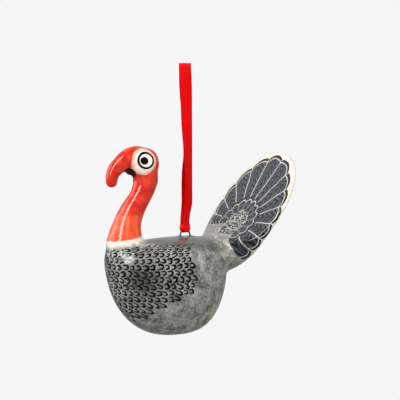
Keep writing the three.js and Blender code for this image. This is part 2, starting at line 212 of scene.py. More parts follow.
ACROSS = np.linspace(-0.5, 0.5, 13)


def turned_axes(turn):
    """Unit lines across the ribbon and through it, at a turn about the upright."""
    across = np.stack([np.cos(turn), np.sin(turn), 0 * turn], axis=-1)
    through = np.stack([-np.sin(turn), np.cos(turn), 0 * turn], axis=-1)
    return across, through


def strand_rows(side, heights, lift=0.0):
    """Middle points and rows of a strand, on the front (-1) or back (1) of the loop."""
    fine = bent_line(STRAND_ROUTES[side], np.linspace(0, 1, 400))
    out, turn, sway = (np.interp(heights, fine[:, 0], fine[:, k]) for k in (1, 2, 3))
    across, through = turned_axes(np.radians(turn))
    middle = np.stack([sway, 0 * out, heights - LOOP_DROP], axis=1)
    middle += side * (out + lift)[:, None] * through
    ease = np.clip((heights - STRAND_FOOT) / CUP_EASE, 0, 1)
    ease *= np.clip((STRAND_TOP - heights) / CUP_EASE, 0, 1)
    cup = side * CUP * (0.5 - 2 * ACROSS ** 2) * ease[:, None]
    rows = middle[:, None] + ACROSS[None, :, None] * RIBBON_WIDTH * across[:, None]
    rows += cup[:, :, None] * through[:, None]
    return middle, rows


def line_length(path):
    return float(np.linalg.norm(np.diff(path, axis=0), axis=1).sum())


heights = np.linspace(STRAND_FOOT, STRAND_TOP, 90)
front_middle, front_rows = strand_rows(-1, heights)
back_middle, back_rows = strand_rows(1, heights[::-1])
fold_angle = np.linspace(0, math.pi, 26)[1:]
fold_across, fold_out = turned_axes(np.radians(FOLD_TURN))
fold_middle = -np.cos(fold_angle)[:, None] * fold_out * FOLD_RADIUS
fold_middle[:, 2] += np.sin(fold_angle) * FOLD_RADIUS - HOOK_WIDTH / 2
fold_rows = fold_middle[:, None] + ACROSS[None, :, None] * RIBBON_WIDTH * fold_across
front_path = np.concatenate([front_middle, fold_middle])
front_strand = strip_piece("satin_front_strand", np.concatenate([front_rows, fold_rows]))
back_strand = strip_piece("satin_back_strand", back_rows)
lap = strip_piece("satin_end_lap", strand_rows(1, LAP_HEIGHTS, LAP_LIFT)[1])
print("strand lengths in mm:", round(line_length(front_path), 1), round(line_length(back_middle), 1))

# %% Set the strands and the end lap in place
for strand in (front_strand, back_strand):
    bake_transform(strand)
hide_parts("ribbon_front_strand", "ribbon_top_fold")
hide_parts("ribbon_back_strand")
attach(lap, "ribbon")
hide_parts("ribbon_end_lap")

# %% [markdown]
# ## Gather and hitch
# Below the loop the two strands pleat together and go into the knot. A pleat is a wave across the strip
# that grows as the strip is squeezed, so its satin keeps its width. The knot is a band round the pleats and
# a bight that passes under the staple's crown.

# %% Pleated gather
PINCH = 4.1
GATHER_FOOT = 0.9
SQUEEZE_DROP = 11.0
PLEATS = 5
PLEAT_SHIFT = {-1: 0, 1: 0.6}
PLEAT_DEPTH = 0.42
PLEATS_APART = 0.62


def gather_rows(side, top_row):
    """Rows from a strand's foot down to its pleats in the knot."""
    height = np.linspace(STRAND_FOOT, GATHER_FOOT, 40)
    squeeze = np.clip((STRAND_FOOT - height) / SQUEEZE_DROP, 0, 1)
    squeeze = (squeeze * squeeze * (3 - 2 * squeeze))[:, None, None]
    pleat = PLEAT_DEPTH * np.cos(ACROSS * math.pi * PLEATS + PLEAT_SHIFT[side])
    foot_row = np.stack([ACROSS * PINCH, side * PLEATS_APART + pleat, 0 * ACROSS], axis=1)
    rows = top_row + (foot_row - top_row) * squeeze
    rows[:, :, 2] = height[:, None] - LOOP_DROP
    return rows


gather = strip_piece("satin_gather_front", gather_rows(-1, front_rows[0]))
gather_back = strip_piece("satin_gather_back", gather_rows(1, back_rows[-1])[:, ::-1])
for piece in (gather, gather_back):
    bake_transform(piece)
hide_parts("ribbon_gather")
print("pleats squeeze", RIBBON_WIDTH, "mm of satin to", PINCH)

# %% Band and bight of the hitch
BAND_HIGH = 2.3
BAND_LOW = -1.5
EDGE_FACING = (0.35, 0.6, 0.8, 0.95)
EDGE_LOW = (0.1, -0.15, -0.6, BAND_LOW)
KNOT_HALF = 2.2
KNOT_FLARE = 0.4
KNOT_DEEP = 1.3
KNOT_BULGE = 0.4
KNOT_SQUARE = 0.6
KNOT_CREASE = 0.08
KNOT_CREASES = 5
CREASE_RUN = 5
BIGHT_HALF = 1.6
BIGHT_DEEP = 1.25
BIGHT_DROP = 1.7
BIGHT_SIDE = [(0.9, 1.6), (1.05, 1.1), (1.17, 0.5)]


def band_rows():
    """A tube round the crown, cut away below at its sides, where the staple's legs swing."""
    angle = np.linspace(-0.5 * math.pi, 1.5 * math.pi, 97)
    cosine, sine = np.cos(angle)[:, None], np.sin(angle)[:, None]
    low = np.interp(np.abs(sine), EDGE_FACING, EDGE_LOW)
    lift = low + (BAND_HIGH - low) * np.linspace(1, 0, 11)[None]
    drop = (BAND_HIGH - lift) / (BAND_HIGH - BAND_LOW)
    wide = KNOT_HALF + KNOT_FLARE * drop
    deep = KNOT_DEEP + KNOT_BULGE * np.sin(drop * math.pi * 0.8)
    crease = 1 + KNOT_CREASE * np.sin(KNOT_CREASES * angle)[:, None] * np.sin(CREASE_RUN * drop)
    rows = np.zeros((*lift.shape, 3))
    rows[:, :, 0] = np.sign(cosine) * np.abs(cosine) ** KNOT_SQUARE * wide * crease
    rows[:, :, 1] = np.sign(sine) * np.abs(sine) ** KNOT_SQUARE * deep * crease
    rows[:, :, 2] = lift - LOOP_DROP
    return rows


def bight_rows():
    """A strap that comes down one side of the crown, passes under it and goes up the other."""
    line = [(-y, z) for y, z in BIGHT_SIDE]
    for angle in np.linspace(0, math.pi, 25):
        line.append((-BIGHT_DEEP * math.cos(angle), -BIGHT_DROP * math.sin(angle)))
    line = np.array(line + BIGHT_SIDE[::-1])
    rows = np.zeros((len(line), 11, 3))
    rows[:, :, 0] = np.linspace(-BIGHT_HALF, BIGHT_HALF, 11)[None]
    rows[:, :, 1] = line[:, :1]
    rows[:, :, 2] = line[:, 1:] - LOOP_DROP
    return rows


band = strip_piece("satin_hitch_band", band_rows())
bight = strip_piece("satin_hitch_bight", bight_rows())
for piece in (band, bight):
    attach(piece, "hitch")
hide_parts("ribbon_hitch")
print("hitch from", BAND_LOW, "to", BAND_HIGH, "mm above the crown")

for strand, path, carried in (
    (front_strand, front_path, [gather, gather_back, band, bight]),
    (back_strand, back_middle[::-1], [lap]),
):
    print(strand.name, "is", round(line_length(path), 1), "mm long")

# %% [markdown]
# ## One function for nodes
# Materials and Geometry Nodes are both trees of nodes. One function adds a node and sets its properties.
# Values, hex colours or links then fill the inputs in use, in the order that the node's panel shows them,
# and others go by name. It gives back the output that is asked for, or else the first one in use. Colours
# are written as the hex values that a paint program shows, and become linear light here.

# %% Helpers for nodes
def linear(code):
    def channel(text):
        share = int(text, 16) / 255
        return share / 12.92 if share <= 0.04045 else ((share + 0.055) / 1.055) ** 2.4
    return channel(code[1:3]), channel(code[3:5]), channel(code[5:7]), 1


def put(tree, kind, *values, named=None, out=None, **settings):
    node = tree.nodes.new("ShaderNode" + kind if tree.type == "SHADER" else kind)
    for name, value in settings.items():
        setattr(node, name, value)
    filled = list(zip([socket for socket in node.inputs if socket.enabled], values))
    filled += [(node.inputs[name], value) for name, value in (named or {}).items()]
    for socket, value in filled:
        if isinstance(value, bpy.types.NodeSocket):
            tree.links.new(value, socket)
        else:
            socket.default_value = linear(value) if isinstance(value, str) else value
    if out:
        return node.outputs[out]
    return next((socket for socket in node.outputs if socket.enabled), None)


def new_material(name):
    material = bpy.data.materials.new(name)
    material.use_nodes = True
    material.node_tree.nodes.clear()
    return material, material.node_tree


def paint_over(tree, under, paint, value, none, full):
    """Lays a paint over a colour: none of it where the value is at one limit, all of it at the other."""
    share = put(tree, "MapRange", value, none, full, interpolation_type="SMOOTHSTEP")
    return put(tree, "Mix", share, under, paint, data_type="RGBA")


# %% [markdown]
# ## Satin
# The ribbon is woven polyester satin: its long warp threads float over the weft, which gives a soft sheen
# along the strip and a faint crosswise rib. Real threads are about 0.1 mm apart, which is finer than a
# pixel, so the rib is drawn at 0.42 mm to show. The edges are a firmer selvedge.

# %% Material: woven polyester satin
RIB_MM = 0.42
SELVEDGE = (RIBBON_WIDTH / 2 - 0.5, RIBBON_WIDTH / 2 - 0.2)
satin, tree = new_material("woven_polyester_satin")
weave = put(tree, "UVMap", uv_map="weave_mm")
across, along, _ = put(tree, "SeparateXYZ", weave).node.outputs
rib = put(tree, "Math", along, 2 * math.pi / RIB_MM, operation="MULTIPLY")
rib = put(tree, "Math", rib, operation="SINE")
stretched = put(tree, "VectorMath", weave, (7, 0.5, 1), operation="MULTIPLY")
thread = put(tree, "TexNoise", stretched, 1.0, 2.0)
tone = put(tree, "MapRange", thread, 0.3, 0.7)
red = put(tree, "Mix", tone, "#d80206", "#ea0206", data_type="RGBA")
from_middle = put(tree, "Math", across, operation="ABSOLUTE")
red = paint_over(tree, red, "#b40006", from_middle, *SELVEDGE)
relief = put(tree, "Math", rib, thread, operation="ADD")
normal = put(tree, "Bump", named={"Height": relief, "Strength": 0.25, "Distance": 0.04 * MM})
look = {"Base Color": red, "Roughness": 0.55, "Specular IOR Level": 0.12, "Normal": normal}
put(tree, "OutputMaterial", put(tree, "BsdfPrincipled", named=look))
satin_pieces = (front_strand, back_strand, lap, gather, gather_back, band, bight)
for piece in satin_pieces:
    piece.data.materials.append(satin)
print("satin on", len(satin_pieces), "pieces")

# %% [markdown]
# ## Hanging wire
# The staple is one bent wire, and its round section follows a path, which is what Curve to Mesh in Geometry
# Nodes does. The tree has the wire's radius as an input. Its result is made a plain mesh, because the
# finished piece has no live modifiers.

# %% Staple path
CROWN = np.array([0, 0, -LOOP_DROP])
WIRE_RADIUS = 0.4
CROWN_HALF = 2.1
LEG_HALF = 3.0
STAPLE_RISE = 3.6
CLAY_WALL = 3.8
LEG_BELOW = 2.2
LEG_STOP = 1.6
STAPLE_FOOT = -(STAPLE_RISE + CLAY_WALL + LEG_BELOW)
STAPLE_REACH = 2.4
STAPLE_BEND = 1.1


def staple_line():
    """The wire's line: legs that splay from the crown, then go straight down to their turned ends."""
    corner = np.linspace(0, math.pi / 2, 9)
    side = STAPLE_BEND * (1 - np.sin(corner))
    drop = STAPLE_BEND * (1 - np.cos(corner))
    straight = np.linspace(-STAPLE_RISE, STAPLE_FOOT + LEG_STOP, 9)
    half = [(0, 0), *zip(CROWN_HALF - side, -drop)]
    half += [(LEG_HALF, z) for z in straight]
    half += zip(LEG_HALF + drop, STAPLE_FOOT + side)
    half += [(LEG_HALF + STAPLE_REACH, STAPLE_FOOT)]
    left = [(-x, z) for x, z in half[:0:-1]]
    return np.array([(x, 0, z) for x, z in left + half]) + CROWN


route = bpy.data.curves.new("staple_route", "CURVE")
route.dimensions = "3D"
spline = route.splines.new("POLY")
staple_points = staple_line() * MM
spline.points.add(len(staple_points) - 1)
spline.points.foreach_set("co", np.hstack([staple_points, np.ones((len(staple_points), 1))]).ravel())
wire_path = placed("staple_route", route)
print("staple points:", len(staple_points))

# %% Material: oxidised steel wire
# Fired with the glaze, steel takes a dark grey oxide skin that is dull, with a little bare metal showing.
oxide, tree = new_material("oxidised_steel_wire")
place = put(tree, "TexCoord", out="Object")
scale = put(tree, "TexNoise", place, 1 / (0.5 * MM), 4.0)
tone = put(tree, "Mix", scale, "#3c3a3a", "#77726f", data_type="RGBA")
rough = put(tree, "MapRange", scale, 0, 1, 0.3, 0.6)
normal = put(tree, "Bump", named={"Height": scale, "Strength": 0.3, "Distance": 0.05 * MM})
look = {"Base Color": tone, "Metallic": 0.85, "Roughness": rough, "Normal": normal}
put(tree, "OutputMaterial", put(tree, "BsdfPrincipled", named=look))
print("made", oxide.name)


# %% Sweep the wire with Geometry Nodes
def real_mesh(thing):
    """A plain mesh of what an object's modifiers make."""
    bpy.context.view_layer.update()
    return bpy.data.meshes.new_from_object(thing.evaluated_get(bpy.context.evaluated_depsgraph_get()))


sweep = bpy.data.node_groups.new("wire_along_route", "GeometryNodeTree")
sweep.interface.new_socket("Route", in_out="INPUT", socket_type="NodeSocketGeometry")
radius_socket = sweep.interface.new_socket("Wire radius", in_out="INPUT", socket_type="NodeSocketFloat")
sweep.interface.new_socket("Wire", in_out="OUTPUT", socket_type="NodeSocketGeometry")
given = put(sweep, "NodeGroupInput").node.outputs
section = put(sweep, "GeometryNodeCurvePrimitiveCircle", 20, given["Wire radius"])
tube = put(sweep, "GeometryNodeCurveToMesh", given["Route"], section, named={"Fill Caps": True})
whole = put(sweep, "GeometryNodeRealizeInstances", tube)
finished = put(sweep, "GeometryNodeSetMaterial", whole, named={"Material": oxide})
put(sweep, "NodeGroupOutput", finished)
modifier = wire_path.modifiers.new("sweep", "NODES")
modifier.node_group = sweep
modifier[radius_socket.identifier] = WIRE_RADIUS * MM
wire = placed("staple_wire", real_mesh(wire_path))
bpy.data.objects.remove(wire_path)
wire.data.polygons.foreach_set("use_smooth", [len(f.vertices) == 4 for f in wire.data.polygons])
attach(wire, "bird")
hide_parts("hanging_wire")
print("wire faces:", len(wire.data.polygons))

# %% [markdown]
# ## Clay
# The potter casts a hollow body, models the neck and the tail on it with slip, and smooths the joins before
# firing, so the surface runs on from one to the next. To get such joins, closed forms are made by the same
# rules as the solids, fused by a voxel remesh, and smoothed, most of all where two forms meet.

# %% Forms of the body
BODY_LENGTH = 65.0
BODY_WIDTH = 45.0
BODY_DEPTH = 39.7
BODY_RISE = 9.0
BODY_MIDDLE = -11.4
BODY_REAR = BODY_MIDDLE + BODY_LENGTH / 2
BACK_TANGENT = math.tan(math.radians(2.7))
KEEL_SETBACK = 5.2
REAR_TUCK = 2.0
TUCK_SCALE = 27 / 4
GIRTH_DROP = 7.0
BELLY_FULLNESS = 2.5
BACK_FULLNESS = 2.6
GIRTH_FULLNESS = 2.1


def rounded(value, fullness):
    return np.sign(value) * np.abs(value) ** (2 / fullness)


def girth(height):
    """Share of the body's width at a height over the line where it is longest."""
    above = np.asarray(height) + GIRTH_DROP
    reach = np.where(above > 0, BODY_RISE + GIRTH_DROP, BODY_DEPTH - GIRTH_DROP)
    share = np.minimum(np.abs(above) / reach, 1)
    return (1 - share ** GIRTH_FULLNESS) ** (1 / GIRTH_FULLNESS)


def length_share(height):
    """Share of the body's length at the same height."""
    lift = np.clip(np.asarray(height) / BODY_RISE, 0, 1)
    drop = np.clip(-np.asarray(height) / BODY_DEPTH, 0, 1)
    back = (1 - lift ** BACK_FULLNESS) ** (1 / BACK_FULLNESS)
    return back * (1 - drop ** BELLY_FULLNESS) ** (1 / BELLY_FULLNESS)


def back_height(behind):
    share = (abs(behind) / (BODY_LENGTH / 2)) ** BACK_FULLNESS
    return (1 - share) ** (1 / BACK_FULLNESS) * (BODY_RISE + behind * BACK_TANGENT)


LONGEST_LINE = -STAPLE_RISE - back_height(-BODY_MIDDLE)
BACK_LEVEL = LONGEST_LINE + BODY_RISE


def circle(sides):
    """Points round a flat circle of radius 1."""
    around = np.linspace(0, 2 * math.pi, sides, endpoint=False)
    return np.stack([np.cos(around), np.sin(around), 0 * around], axis=1)


def loft(name, rings):
    """A closed form through rings, with its two ends filled."""
    rings = np.asarray(rings)
    count, sides = rings.shape[:2]
    points = np.concatenate([rings.reshape(-1, 3), rings[0].mean(0)[None], rings[-1].mean(0)[None]])
    first = count * sides
    top = first - sides
    faces = []
    for r in range(0, top, sides):
        for i in range(sides):
            j = (i + 1) % sides
            faces.append((r + i, r + j, r + sides + j, r + sides + i))
    for i in range(sides):
        j = (i + 1) % sides
        faces.append((first, j, i))
        faces.append((first + 1, top + i, top + j))
    return mesh_piece(name, points + CROWN, faces)


def bowl(name, sides=120, belly=56, back=28):
    """The body: rings up the belly to where it is longest, then on over the back."""
    cosine, sine, _ = circle(sides).T
    rings = []

    def ring(along, height, behind, tuck, slope):
        x = behind + along * BODY_LENGTH / 2 * cosine - tuck * np.maximum(cosine, 0)
        y = girth(height) * BODY_WIDTH / 2 * sine
        rings.append(np.stack([BODY_MIDDLE + x, y, LONGEST_LINE + height + slope * x], axis=1))

    for angle in np.linspace(math.pi / 2, 0, belly + 1)[1:]:
        drop = rounded(math.sin(angle), BELLY_FULLNESS)
        tuck = REAR_TUCK * TUCK_SCALE * drop ** 2 * (1 - drop)
        ring(rounded(math.cos(angle), BELLY_FULLNESS), -drop * BODY_DEPTH, drop * KEEL_SETBACK, tuck, 0)
    for angle in np.linspace(0, math.pi / 2, back + 1)[1:-1]:
        lift = rounded(math.sin(angle), BACK_FULLNESS)
        ring(rounded(math.cos(angle), BACK_FULLNESS), lift * BODY_RISE, 0, 0, lift * BACK_TANGENT)
    return loft(name, rings)


print("back level in mm under the crown:", round(-BACK_LEVEL, 2))

# %% Forms of the neck, head and tail
NECK_ROOT = BODY_MIDDLE - BODY_LENGTH / 2 + 10.4
NECK_STATIONS = np.array([
    [3.7, -17.9, 11, 11],
    [0.9, -7.9, 10.6, 10.6],
    [-0.2, -0.8, 9.3, 9.3],
    [0.9, 7.4, 7, 7],
    [3.7, 14.1, 6, 6],
    [8, 20.8, 5.4, 5.3],
    [10.3, 25.5, 5.7, 5.5],
    [11.2, 30, 6.4, 6],
    [10, 37.3, 6.6, 6],
]) + [NECK_ROOT, BACK_LEVEL, 0, 0]
HEAD_MIDDLE = np.array([NECK_STATIONS[-1, 0], 0, NECK_STATIONS[-1, 1]])
HEAD_HALF = np.array([16.6, 14, 16]) / 2
BEAK_MIDDLE = HEAD_MIDDLE + [-6.8, 0, -2.9]
BEAK_RADIUS = 3.1
SNOOD_STATIONS = np.array([
    [0, 1.5, 6.4, 5.6],
    [-4, 2.7, 6.2, 5.4],
    [-9.2, 1.6, 5.4, 4.8],
    [-13.8, -0.9, 4, 3.8],
    [-16.2, -3.4, 3.5, 3.4],
    [-17.3, -6.2, 3.1, 3.1],
    [-17.5, -8.4, 2.8, 2.8],
]) + [HEAD_MIDDLE[0], HEAD_MIDDLE[2], 0, 0]
SNOOD_END = np.array([SNOOD_STATIONS[-1, 0], 0, SNOOD_STATIONS[-1, 1]])
STEM_STATIONS = np.array([
    [-17.2, -13.1, 10, 10, 2],
    [-7.6, -9.9, 10, 11.5, 2],
    [0.4, -8.3, 9.7, 16.5, 2],
]) + [BODY_REAR, BACK_LEVEL, 0, 0, 0]
FAN_HALF_WIDTH = 30.0
FAN_HALF_HEIGHT = 32.5
FAN_HALF_THICKNESS = 1.55
FAN_FULLNESS = 4
FAN_SWELL = 3.3
SWELL_FADE = 8.0
FAN_LEAN = math.radians(35.5)
FAN_UP = np.array([math.sin(FAN_LEAN), 0, math.cos(FAN_LEAN)])
FAN_MIDDLE = np.array([BODY_REAR + 17, 0, BACK_LEVEL + 13.1])
BEAD_HALF = np.array([1.4, 1.4, 0.6])


def limb(name, stations, sides=72, steps=16):
    """A form along a line in the plane of symmetry. Stations are x, z, half depth, half width, fullness."""
    stations = np.asarray(stations, float)
    if stations.shape[1] == 4:
        stations = np.hstack([stations, np.full((len(stations), 1), 2.0)])
    shares = np.linspace(0, 1, (len(stations) - 1) * steps + 1)
    line = bent_line(stations[:, :2], shares)
    ahead = bent_line(stations[:, :2], shares + 1e-4) - bent_line(stations[:, :2], shares - 1e-4)
    ahead /= np.linalg.norm(ahead, axis=1, keepdims=True)
    section = bent_line(stations[:, 2:], shares)
    cosine, sine, _ = circle(sides).T
    deep = section[:, :1] * rounded(cosine[None], section[:, 2:])
    rings = np.zeros((len(shares), sides, 3))
    rings[:, :, 0] = line[:, :1] + deep * ahead[:, 1:]
    rings[:, :, 1] = section[:, 1:2] * rounded(sine[None], section[:, 2:])
    rings[:, :, 2] = line[:, 1:] - deep * ahead[:, :1]
    return loft(name, rings)


def ball(name, middle, half, sides=72):
    rings = []
    for lift in np.linspace(-math.pi / 2, math.pi / 2, sides // 2)[1:-1]:
        ring = circle(sides) * math.cos(lift)
        ring[:, 2] = math.sin(lift)
        rings.append(middle + ring * half)
    return loft(name, rings)


def fan_stations():
    """Stations up the fan, which is thickest at its foot."""
    angle = np.radians(np.linspace(-36, 87, 10))
    up = FAN_HALF_HEIGHT * np.sin(angle)
    thick = FAN_HALF_THICKNESS + FAN_SWELL * np.exp((up[0] - up) / SWELL_FADE)
    place = FAN_MIDDLE + up[:, None] * FAN_UP
    wide = FAN_HALF_WIDTH * np.cos(angle)
    return np.stack([place[:, 0], place[:, 2], thick, wide, 0 * angle + FAN_FULLNESS], axis=1)


body_form = bowl("body_form")
neck_form = limb("neck_form", NECK_STATIONS)
head_form = ball("head_form", HEAD_MIDDLE, HEAD_HALF)
beak_form = ball("beak_form", BEAK_MIDDLE, BEAK_RADIUS)
snood_form = limb("snood_form", SNOOD_STATIONS)
snood_tip = ball("snood_tip", SNOOD_END, SNOOD_STATIONS[-1, 2])
tail_form = limb("tail_form", np.vstack([STEM_STATIONS, fan_stations()]), sides=160)
beads = [ball("bead_form", np.array([x, 0, -STAPLE_RISE]), BEAD_HALF) for x in (-LEG_HALF, LEG_HALF)]
print("forms:", [len(o.data.polygons) for o in (body_form, neck_form, head_form, snood_form, tail_form)])

# %% Cut the casting vent
VENT_RADIUS = 2.5
VENT_CUT = (-3, 10)


def make_plain(piece):
    made = real_mesh(piece)
    piece.modifiers.clear()
    piece.data = made


vent_place = np.array([BODY_MIDDLE + KEEL_SETBACK, 0, LONGEST_LINE - BODY_DEPTH])
vent_ring = circle(48) * VENT_RADIUS + vent_place
vent_form = loft("vent_form", [vent_ring + [0, 0, z] for z in VENT_CUT])
cut = body_form.modifiers.new("vent", "BOOLEAN")
cut.operation = "DIFFERENCE"
cut.object = vent_form
make_plain(body_form)
bpy.data.objects.remove(vent_form)
print("body form with its vent:", len(body_form.data.polygons), "faces")

# %% [markdown]
# The remesh turns the overlapping forms into one even skin. A vertex near two forms at once is near a join,
# and is smoothed more, which gives the join its fillet. Each smoothing round is paired with one that swells
# a little, so the forms keep their size.

# %% Fuse the forms
VOXEL = 0.42
clouds = []
for form in (body_form, neck_form, tail_form, head_form, snood_form):
    cloud = KDTree(len(form.data.vertices))
    for v in form.data.vertices:
        cloud.insert(v.co, v.index)
    cloud.balance()
    clouds.append(cloud)
joined = bmesh.new()
for form in (body_form, neck_form, head_form, beak_form, snood_form, snood_tip, tail_form, *beads):
    joined.from_mesh(form.data)
    bpy.data.objects.remove(form)
skin = placed("clay_skin", bpy.data.meshes.new("clay_skin"))
joined.to_mesh(skin.data)
joined.free()
remesh = skin.modifiers.new("fuse", "REMESH")
remesh.mode = "VOXEL"
remesh.voxel_size = VOXEL * MM
make_plain(skin)
print("clay skin:", len(skin.data.vertices), "vertices")

# %% Smooth the skin
EVEN_ROUNDS = 6
JOIN_ROUNDS = 60
PAIRED_ROUNDS = 40
SHRINK = 0.5
SWELL = -0.52


def read_points(mesh):
    points = np.zeros(len(mesh.vertices) * 3)
    mesh.vertices.foreach_get("co", points)
    return points.reshape(-1, 3) / MM


def smoothed(points, pairs, share, rounds=1):
    """Moves each point toward the middle of its neighbours by its share, again and again."""
    first, second = pairs.T
    count = len(points)
    degree = np.bincount(first, minlength=count) + np.bincount(second, minlength=count)
    for _ in range(rounds):
        middle = np.zeros_like(points)
        for axis in range(3):
            middle[:, axis] = np.bincount(first, points[second, axis], count)
            middle[:, axis] += np.bincount(second, points[first, axis], count)
        points = points + share * (middle / degree[:, None] - points)
    return points


def near(distance, full, none):
    t = np.clip((none - distance) / (none - full), 0, 1)
    return t * t * (3 - 2 * t)


points = read_points(skin.data)
pairs = np.zeros(len(skin.data.edges) * 2, int)
skin.data.edges.foreach_get("vertices", pairs)
pairs = pairs.reshape(-1, 2)
reach = np.array([[cloud.find(Vector(p * MM))[2] for cloud in clouds] for p in points]) / MM
body, neck, tail, head, snood = reach.T
neck_join = near(np.maximum(body, neck), 1.4, 6.0)
join = np.maximum.reduce([
    neck_join,
    near(np.maximum(body, tail), 1.2, 5.0),
    near(np.maximum(np.minimum(head, snood), neck), 1.0, 4.5),
    0.8 * near(np.maximum(head, snood), 0.8, 3.5),
])
points = smoothed(points, pairs, SHRINK, EVEN_ROUNDS)
points = smoothed(points, pairs, SHRINK * join[:, None], JOIN_ROUNDS)
points = smoothed(points, pairs, SHRINK * neck_join[:, None], JOIN_ROUNDS)
for _ in range(PAIRED_ROUNDS):
    points = smoothed(points, pairs, SHRINK)
    points = smoothed(points, pairs, SWELL)
skin.data.vertices.foreach_set("co", (points * MM).ravel())
skin.data.update()
print("share of the skin near a join:", round(float((join > 0.5).mean()), 3))

# %% [markdown]
# The skin is then parted at the collar and across the stem, so that each clay piece stands for its own
# solid. Both sides of a cut keep the same rim, so the glaze runs on over it. Each opening gets a cap that
# is set back inside.

# %% Part the skin into three pieces
COLLAR_NORMAL = np.array([-0.156, 0, 0.988])
COLLAR_POINT = np.array([-33.7, 0, -4.0]) + CROWN
STEM_NORMAL = np.array([0.862, 0, 0.507])
STEM_POINT = np.array([13.6, 0, -4.0]) + CROWN
NECK_SIDE = -12
TAIL_SIDE = 4
CAP_DEPTH = 0.4


def beyond(places, point, normal):
    return (places - point) @ normal


def cut_skin(whole, point, normal, wanted):
    chosen = [v for v in whole.verts if wanted(v.co.x / MM)]
    inside = set(chosen)
    edges = [e for e in whole.edges if e.verts[0] in inside and e.verts[1] in inside]
    faces = [f for f in whole.faces if all(v in inside for v in f.verts)]
    bmesh.ops.bisect_plane(
        whole,
        geom=chosen + edges + faces,
        dist=1e-7,
        plane_co=Vector(point * MM),
        plane_no=Vector(normal),
    )


whole = bmesh.new()
whole.from_mesh(skin.data)
cut_skin(whole, COLLAR_POINT, COLLAR_NORMAL, lambda x: x < NECK_SIDE)
cut_skin(whole, STEM_POINT, STEM_NORMAL, lambda x: x > TAIL_SIDE)
centres = np.array([f.calc_center_median() for f in whole.faces]) / MM
is_neck = (centres[:, 0] < NECK_SIDE) & (beyond(centres, COLLAR_POINT, COLLAR_NORMAL) > 0)
is_tail = (centres[:, 0] > TAIL_SIDE) & (beyond(centres, STEM_POINT, STEM_NORMAL) > 0)


def part_of_skin(name, keep):
    part = whole.copy()
    part.faces.ensure_lookup_table()
    bmesh.ops.delete(part, geom=[part.faces[i] for i in np.flatnonzero(~keep)], context="FACES")
    rim = [e for e in part.edges if e.is_boundary]
    filled = bmesh.ops.holes_fill(part, edges=rim, sides=0)["faces"]
    for edge in rim:
        edge.smooth = False
    for face in part.faces:
        face.smooth = True
    bmesh.ops.inset_region(part, faces=filled, thickness=CAP_DEPTH * MM, depth=-CAP_DEPTH * MM)
    bmesh.ops.triangulate(part, faces=[f for f in part.faces if len(f.verts) > 4])
    piece = placed(name, bpy.data.meshes.new(name))
    part.to_mesh(piece.data)
    part.free()
    print(name, len(piece.data.vertices), "vertices,", len(filled), "caps")
    return piece


clay_body = part_of_skin("clay_body", ~is_neck & ~is_tail)
clay_neck = part_of_skin("clay_neck_and_head", is_neck)
clay_tail = part_of_skin("clay_tail_fan", is_tail)
whole.free()
bpy.data.objects.remove(skin)
for piece, node, slot in (
    (clay_body, "body_shell", "grey_glaze"),
    (clay_neck, "neck_and_head", "red_glaze"),
    (clay_tail, "tail_fan", "feather_glaze"),
):
    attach(piece, "bird")
    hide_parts(node)

# %% [markdown]
# ## Places for the paint
# A painter lays marks along the form, so the patterns need places that follow it. The breast gets the
# distance round the body from its front and the distance down its side. The fan gets an angle and a
# distance from the point that the feathers spring from, and the distance left to their tips. On top the
# tips stop short of the rim, and low on the near side they wrap round it. Lengths are in millimetres, and
# the materials read them as attributes.

# %% Measure places on the clay
NECK_REACH = 10.2
COLLAR_FALL = 0.8
LOWEST = -0.995 * BODY_DEPTH
HIGHEST = 0.97 * BODY_RISE
ARC_STEPS = 48
ROOT_DROP = 11.6
FEATHER_ROOT = FAN_MIDDLE - ROOT_DROP * FAN_UP + CROWN
FRONT_TURN = math.radians(19)
NEAR_ANGLES = (0.3, 1.2, 1.9)
NEAR_MARGINS = (3.2, -1.6, -4.2)
FAR_ANGLES = (0.2, 0.8)
FAR_MARGIN = 4.2
WRAP = 4.8


def collar_height(places):
    """Height over the collar's plane, which falls away outside the neck."""
    out = np.hypot(places[:, 0] - COLLAR_POINT[0], places[:, 1])
    fall = COLLAR_FALL * np.clip(out - NECK_REACH, 0, None)
    return beyond(places, COLLAR_POINT, COLLAR_NORMAL) - fall


def breast_place(places):
    """Distance round the body from the breast's middle, and distance up or down its side."""
    height = np.clip(places[:, 2] - CROWN[2] - LONGEST_LINE, LOWEST, HIGHEST)
    long = length_share(height) * BODY_LENGTH / 2
    wide = girth(height) * BODY_WIDTH / 2
    behind = places[:, 0] - BODY_MIDDLE + KEEL_SETBACK * np.clip(height / BODY_DEPTH, -1, 0)
    angle = np.arctan2(np.abs(places[:, 1]) / wide, -behind / long)
    run = 0 * angle
    for k in range(ARC_STEPS):
        part = angle * (k + 0.5) / ARC_STEPS
        run += np.hypot(long * np.sin(part), wide * np.cos(part)) * angle / ARC_STEPS
    level = np.linspace(LOWEST, HIGHEST, 600)
    up = 0 * angle
    for radius, share in (
        (length_share(level) * BODY_LENGTH / 2, np.cos(angle) ** 2),
        (girth(level) * BODY_WIDTH / 2, np.sin(angle) ** 2),
    ):
        climb = np.concatenate([[0], np.cumsum(np.hypot(np.diff(level), np.diff(radius)))])
        climb -= np.interp(0, level, climb)
        up += share * np.interp(height, level, climb)
    return np.stack([run, up, 0 * run], axis=1)


def fan_edge():
    """The near edge of the fan and its stem, as distances across and up from where the feathers spring."""
    line = bent_line(np.vstack([STEM_STATIONS[1:], fan_stations()]), np.linspace(0, 1, 90))
    middle = np.stack([line[:, 0], 0 * line[:, 0], line[:, 1]], axis=1) + CROWN
    up = (middle - FEATHER_ROOT) @ FAN_UP
    return np.vstack([np.stack([line[:, 3], up], axis=1), [0, FAN_HALF_HEIGHT + ROOT_DROP]])


